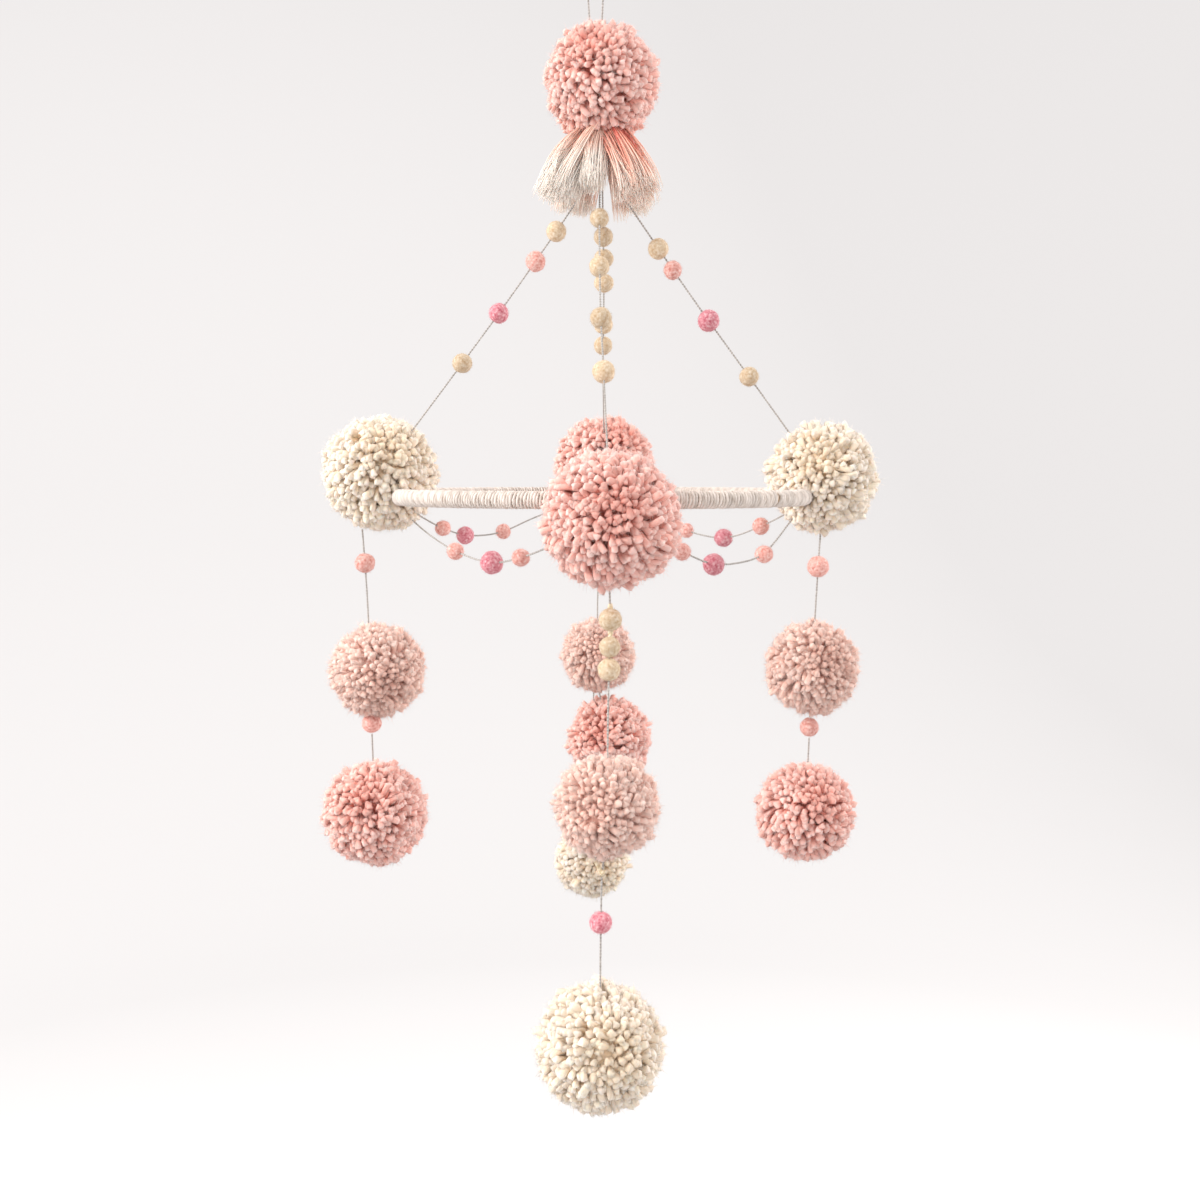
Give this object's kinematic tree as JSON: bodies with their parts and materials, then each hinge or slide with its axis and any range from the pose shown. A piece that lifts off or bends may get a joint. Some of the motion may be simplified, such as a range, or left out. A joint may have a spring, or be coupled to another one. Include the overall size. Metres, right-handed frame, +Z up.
{
  "type": "crib mobile",
  "caption": "Hanging crib mobile: a yarn-wrapped ring on beaded cords under a tasselled pom-pom, with felt-ball swags and strands of pom-poms.",
  "frame": {"origin": "the point where the top of the hanging loop bears on its hook", "axes": "+Z up along the line the mobile hangs on; -Y towards the side that carries the longest strand; +X to the right seen from there"},
  "size_m": [0.3407, 0.3369, 0.6308],
  "materials": {
    "yarn_pink": "matt, soft pile",
    "yarn_blush": "matt, soft pile",
    "yarn_cream": "matt, soft pile",
    "tassel_thread": "matt",
    "felt_cream": "matt",
    "felt_pink": "matt",
    "felt_rose": "matt",
    "cord_cotton": "matt",
    "tie_yarn": "matt",
    "wrap_yarn": "matt",
    "hoop_wood": "plain bentwood"
  },
  "bodies": {
    "hanger": {"hanging_loop": "cord_cotton"},
    "crown": {"crown_pom": "yarn_pink", "main_cord": "cord_cotton", "tassel_back_left": "tassel_thread", "tassel_back_right": "tassel_thread", "tassel_front_left": "tassel_thread", "tassel_front_middle": "tassel_thread", "tassel_front_right": "tassel_thread"},
    "gather": {"gather_knot": "cord_cotton"},
    "ring_frame": {"ring_hoop": "hoop_wood", "ring_wrap": "wrap_yarn", "ring_pom_back": "yarn_pink", "ring_pom_front": "yarn_pink", "ring_pom_left": "yarn_cream", "ring_pom_right": "yarn_cream", "suspension_beads_cream": "felt_cream", "suspension_beads_pink": "felt_pink", "suspension_beads_rose": "felt_rose", "suspension_cord_back": "cord_cotton", "suspension_cord_front": "cord_cotton", "suspension_cord_left": "cord_cotton", "suspension_cord_right": "cord_cotton"},
    "swag_front_left": {"swag_cord_front_left": "cord_cotton", "swag_beads_pink_front_left": "felt_pink", "swag_beads_rose_front_left": "felt_rose"},
    "swag_back_left": {"swag_cord_back_left": "cord_cotton", "swag_beads_pink_back_left": "felt_pink", "swag_beads_rose_back_left": "felt_rose"},
    "swag_front_right": {"swag_cord_front_right": "cord_cotton", "swag_beads_pink_front_right": "felt_pink", "swag_beads_rose_front_right": "felt_rose"},
    "swag_back_right": {"swag_cord_back_right": "cord_cotton", "swag_beads_pink_back_right": "felt_pink", "swag_beads_rose_back_right": "felt_rose"},
    "strand_left_upper": {"cord_left_upper": "cord_cotton", "pom_left_upper": "yarn_blush", "beads_pink_left_upper": "felt_pink"},
    "strand_left_lower": {"cord_left_lower": "cord_cotton", "pom_left_lower": "yarn_pink"},
    "strand_right_upper": {"cord_right_upper": "cord_cotton", "pom_right_upper": "yarn_blush", "beads_pink_right_upper": "felt_pink"},
    "strand_right_lower": {"cord_right_lower": "cord_cotton", "pom_right_lower": "yarn_pink"},
    "strand_front_upper": {"cord_front_upper": "cord_cotton", "pom_front_upper": "yarn_blush", "beads_cream_front_upper": "felt_cream", "front_tie": "tie_yarn"},
    "strand_front_lower": {"cord_front_lower": "cord_cotton", "pom_front_lower": "yarn_cream", "beads_rose_front_lower": "felt_rose"},
    "strand_back_upper": {"cord_back_upper": "cord_cotton", "pom_back_upper": "yarn_blush"},
    "strand_back_middle": {"cord_back_middle": "cord_cotton", "pom_back_middle": "yarn_pink"},
    "strand_back_lower": {"cord_back_lower": "cord_cotton", "pom_back_lower": "yarn_cream"}
  },
  "joints": [
    {"name": "spin", "type": "hinge", "parent": "hanger", "child": "crown", "pos_m": [0, 0, -0.02], "axis": [0, 0, 1], "range_deg": [-180, 180]},
    {"name": "ring_tilt_fore_aft", "type": "hinge", "parent": "crown", "child": "gather", "pos_m": [0.0038, 0, -0.1118], "axis": [1, 0, 0], "range_deg": [-6, 6]},
    {"name": "ring_tilt_side", "type": "hinge", "parent": "gather", "child": "ring_frame", "pos_m": [0.0038, 0, -0.1118], "axis": [0, 1, 0], "range_deg": [-6, 6]},
    {"name": "swag_swing_front_left", "type": "hinge", "parent": "ring_frame", "child": "swag_front_left", "pos_m": [-0.1097, -0.0085, -0.3233], "axis": [0.7068, -0.7068, -0.0308], "range_deg": [-25, 25]},
    {"name": "swag_swing_back_left", "type": "hinge", "parent": "ring_frame", "child": "swag_back_left", "pos_m": [-0.1072, 0.011, -0.3214], "axis": [0.7062, 0.7062, 0.0504], "range_deg": [-25, 25]},
    {"name": "swag_swing_front_right", "type": "hinge", "parent": "ring_frame", "child": "swag_front_right", "pos_m": [0.1164, -0.0094, -0.3242], "axis": [-0.7068, -0.7068, -0.0312], "range_deg": [-25, 25]},
    {"name": "swag_swing_back_right", "type": "hinge", "parent": "ring_frame", "child": "swag_back_right", "pos_m": [0.1152, 0.0106, -0.3204], "axis": [-0.7068, 0.7068, 0.0301], "range_deg": [-25, 25]},
    {"name": "swing_left_upper", "type": "hinge", "parent": "ring_frame", "child": "strand_left_upper", "pos_m": [-0.1424, 0, -0.3281], "axis": [0, 1, 0], "range_deg": [-18, 18]},
    {"name": "swing_left_lower", "type": "hinge", "parent": "strand_left_upper", "child": "strand_left_lower", "pos_m": [-0.1385, 0, -0.4548], "axis": [1, 0, 0], "range_deg": [-25, 25]},
    {"name": "swing_right_upper", "type": "hinge", "parent": "ring_frame", "child": "strand_right_upper", "pos_m": [0.137, 0, -0.3312], "axis": [0, 1, 0], "range_deg": [-18, 18]},
    {"name": "swing_right_lower", "type": "hinge", "parent": "strand_right_upper", "child": "strand_right_lower", "pos_m": [0.132, 0, -0.4572], "axis": [1, 0, 0], "range_deg": [-25, 25]},
    {"name": "swing_front_upper", "type": "hinge", "parent": "ring_frame", "child": "strand_front_upper", "pos_m": [0.0075, -0.133, -0.3544], "axis": [1, 0, 0], "range_deg": [-15, 15]},
    {"name": "swing_front_lower", "type": "hinge", "parent": "strand_front_upper", "child": "strand_front_lower", "pos_m": [0.0035, -0.133, -0.5044], "axis": [0, 1, 0], "range_deg": [-25, 25]},
    {"name": "swing_back_upper", "type": "hinge", "parent": "ring_frame", "child": "strand_back_upper", "pos_m": [0.005, 0.133, -0.3258], "axis": [1, 0, 0], "range_deg": [-15, 15]},
    {"name": "swing_back_middle", "type": "hinge", "parent": "strand_back_upper", "child": "strand_back_middle", "pos_m": [0.0022, 0.133, -0.4506], "axis": [0, 1, 0], "range_deg": [-15, 15]},
    {"name": "swing_back_lower", "type": "hinge", "parent": "strand_back_middle", "child": "strand_back_lower", "pos_m": [0.0038, 0.133, -0.5152], "axis": [1, 0, 0], "range_deg": [-20, 20]}
  ]
}
